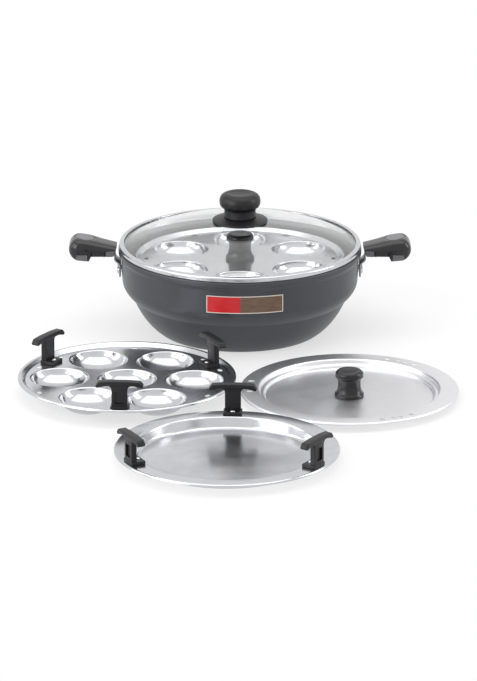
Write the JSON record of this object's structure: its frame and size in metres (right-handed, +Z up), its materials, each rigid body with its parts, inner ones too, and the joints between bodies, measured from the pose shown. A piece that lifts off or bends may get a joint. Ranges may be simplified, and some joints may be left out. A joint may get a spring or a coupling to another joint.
{
  "type": "multi kadai with steaming plates",
  "caption": "Stepped dark kadai with stub handles and a domed glass lid, and stacking steel steaming plates with moulded cups, lugs and spool knobs.",
  "frame": {"origin": "centre of the kadai's flat base, on the table", "axes": "+Z up, +X through the right handle as seen from the front, -Y towards the loose plates in front"},
  "size_m": [0.4778, 0.6975, 0.1576],
  "materials": {
    "anodised_aluminium": "hard-anodised, satin",
    "bakelite": "moulded phenolic, semi-gloss",
    "polished_steel": "stainless steel, polished",
    "strip_steel": "bent strip, satin",
    "glass": "tempered, clear",
    "brass": "turned",
    "silicone": "soft, matt"
  },
  "bodies": {
    "kadai": {"kadai_bowl": "anodised_aluminium", "right_handle_bracket": "strip_steel", "right_handle": "bakelite", "right_handle_screw": "strip_steel", "right_bracket_rivet_a": "polished_steel", "right_bracket_rivet_b": "polished_steel", "left_handle_bracket": "strip_steel", "left_handle": "bakelite", "left_handle_screw": "strip_steel", "left_bracket_rivet_a": "polished_steel", "left_bracket_rivet_b": "polished_steel"},
    "lower_plate": {"lower_dhokla_plate": "polished_steel", "lower_lug_1": "bakelite", "lower_lug_2": "bakelite", "lower_lug_3": "bakelite", "lower_lug_rivet_1": "polished_steel", "lower_lug_rivet_2": "polished_steel", "lower_lug_rivet_3": "polished_steel"},
    "upper_plate": {"upper_idli_plate": "polished_steel", "upper_plate_knob": "bakelite", "upper_plate_knob_screw": "polished_steel", "upper_plate_knob_washer": "polished_steel"},
    "lid": {"lid_glass": "glass", "lid_rim_ring": "polished_steel", "lid_knob": "bakelite", "lid_knob_flange": "bakelite", "lid_knob_insert": "brass", "lid_knob_screw": "polished_steel", "lid_knob_washer": "polished_steel", "lid_knob_gasket": "silicone"},
    "seven_cup_plate": {"idli_plate": "polished_steel", "idli_lug_1": "bakelite", "idli_lug_2": "bakelite", "idli_lug_3": "bakelite", "idli_lug_rivet_1": "polished_steel", "idli_lug_rivet_2": "polished_steel", "idli_lug_rivet_3": "polished_steel"},
    "pan_plate": {"dhokla_plate": "polished_steel", "dhokla_lug_1": "bakelite", "dhokla_lug_2": "bakelite", "dhokla_lug_3": "bakelite", "dhokla_lug_rivet_1": "polished_steel", "dhokla_lug_rivet_2": "polished_steel", "dhokla_lug_rivet_3": "polished_steel"},
    "slotted_plate": {"steamer_plate": "polished_steel", "steamer_knob": "bakelite", "steamer_knob_screw": "polished_steel", "steamer_knob_washer": "polished_steel"}
  },
  "joints": [
    {"name": "lower_plate_lift", "type": "slide", "parent": "kadai", "child": "lower_plate", "axis": [0, 0, 1], "range_m": [0, 0.1]},
    {"name": "upper_plate_lift", "type": "slide", "parent": "lower_plate", "child": "upper_plate", "axis": [0, 0, 1], "range_m": [0, 0.1]},
    {"name": "lid_lift", "type": "slide", "parent": "upper_plate", "child": "lid", "axis": [0, 0, 1], "range_m": [0, 0.12]},
    {"name": "seven_cup_plate_lift", "type": "slide", "parent": "kadai", "child": "seven_cup_plate", "axis": [0, 0, 1], "range_m": [0, 0.15]},
    {"name": "pan_plate_lift", "type": "slide", "parent": "kadai", "child": "pan_plate", "axis": [0, 0, 1], "range_m": [0, 0.15]},
    {"name": "slotted_plate_lift", "type": "slide", "parent": "kadai", "child": "slotted_plate", "axis": [0, 0, 1], "range_m": [0, 0.15]}
  ]
}
